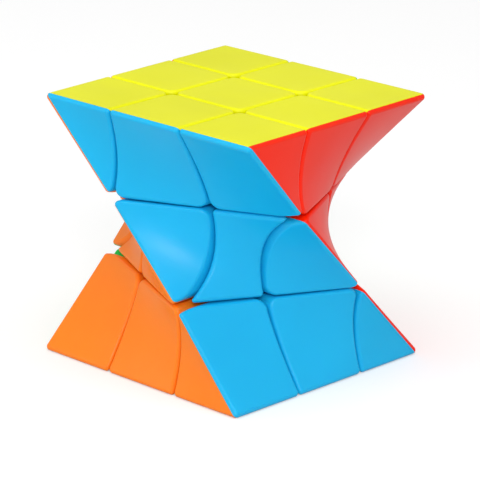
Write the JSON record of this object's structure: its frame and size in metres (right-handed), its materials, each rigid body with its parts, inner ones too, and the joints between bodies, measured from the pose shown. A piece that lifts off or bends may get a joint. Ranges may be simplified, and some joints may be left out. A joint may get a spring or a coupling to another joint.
{
  "type": "twisty puzzle cube",
  "caption": "Stickerless twist puzzle cube: a layered cube whose outside is twisted by a quarter turn from top to bottom, with top and bottom layers that turn.",
  "frame": {"origin": "centre of the mechanism, where the six turning axes meet, which is the centre of the cube's box", "axes": "+Z out of the yellow side along the axis of the twist, -Y out of the front side, +X out of the right side"},
  "size_m": [0.057, 0.057, 0.057],
  "materials": {
    "yellow": "yellow ABS, coloured through, satin-gloss moulded surface",
    "white": "white ABS, coloured through, satin-gloss moulded surface",
    "blue": "blue ABS, coloured through, satin-gloss moulded surface",
    "red": "red ABS, coloured through, satin-gloss moulded surface",
    "green": "green ABS, coloured through, satin-gloss moulded surface",
    "orange": "orange ABS, coloured through, satin-gloss moulded surface",
    "core_plastic": "natural white nylon, moulded",
    "stem_plastic": "light grey ABS, moulded",
    "screw_steel": "zinc-plated steel",
    "spring_steel": "bright spring steel wire"
  },
  "bodies": {
    "middle_layer": {"axle_screws": "screw_steel", "back_centre_green": "green", "back_centre_red": "red", "back_left_edge_green": "green", "back_right_edge_red": "red", "core_spider": "core_plastic", "front_centre_blue": "blue", "front_centre_orange": "orange", "front_left_edge_orange": "orange", "front_right_edge_blue": "blue", "left_centre_green": "green", "left_centre_orange": "orange", "right_centre_blue": "blue", "right_centre_red": "red", "side_centre_stems": "stem_plastic", "springs": "spring_steel"},
    "top_layer": {"top_back_edge_green": "green", "top_back_edge_yellow": "yellow", "top_back_left_corner_green": "green", "top_back_left_corner_orange": "orange", "top_back_left_corner_yellow": "yellow", "top_back_right_corner_green": "green", "top_back_right_corner_red": "red", "top_back_right_corner_yellow": "yellow", "top_centre_stem": "stem_plastic", "top_centre_yellow": "yellow", "top_front_edge_blue": "blue", "top_front_edge_yellow": "yellow", "top_front_left_corner_blue": "blue", "top_front_left_corner_orange": "orange", "top_front_left_corner_yellow": "yellow", "top_front_right_corner_blue": "blue", "top_front_right_corner_red": "red", "top_front_right_corner_yellow": "yellow", "top_left_edge_orange": "orange", "top_left_edge_yellow": "yellow", "top_right_edge_red": "red", "top_right_edge_yellow": "yellow"},
    "bottom_layer": {"bottom_back_edge_red": "red", "bottom_back_edge_white": "white", "bottom_back_left_corner_green": "green", "bottom_back_left_corner_red": "red", "bottom_back_left_corner_white": "white", "bottom_back_right_corner_blue": "blue", "bottom_back_right_corner_red": "red", "bottom_back_right_corner_white": "white", "bottom_centre_stem": "stem_plastic", "bottom_centre_white": "white", "bottom_front_edge_orange": "orange", "bottom_front_edge_white": "white", "bottom_front_left_corner_green": "green", "bottom_front_left_corner_orange": "orange", "bottom_front_left_corner_white": "white", "bottom_front_right_corner_blue": "blue", "bottom_front_right_corner_orange": "orange", "bottom_front_right_corner_white": "white", "bottom_left_edge_green": "green", "bottom_left_edge_white": "white", "bottom_right_edge_blue": "blue", "bottom_right_edge_white": "white"}
  },
  "joints": [
    {"name": "top_turn", "type": "hinge", "parent": "middle_layer", "child": "top_layer", "pos_m": [0, 0, 0], "axis": [0, 0, 1], "continuous": true},
    {"name": "bottom_turn", "type": "hinge", "parent": "middle_layer", "child": "bottom_layer", "pos_m": [0, 0, 0], "axis": [0, 0, -1], "continuous": true}
  ]
}
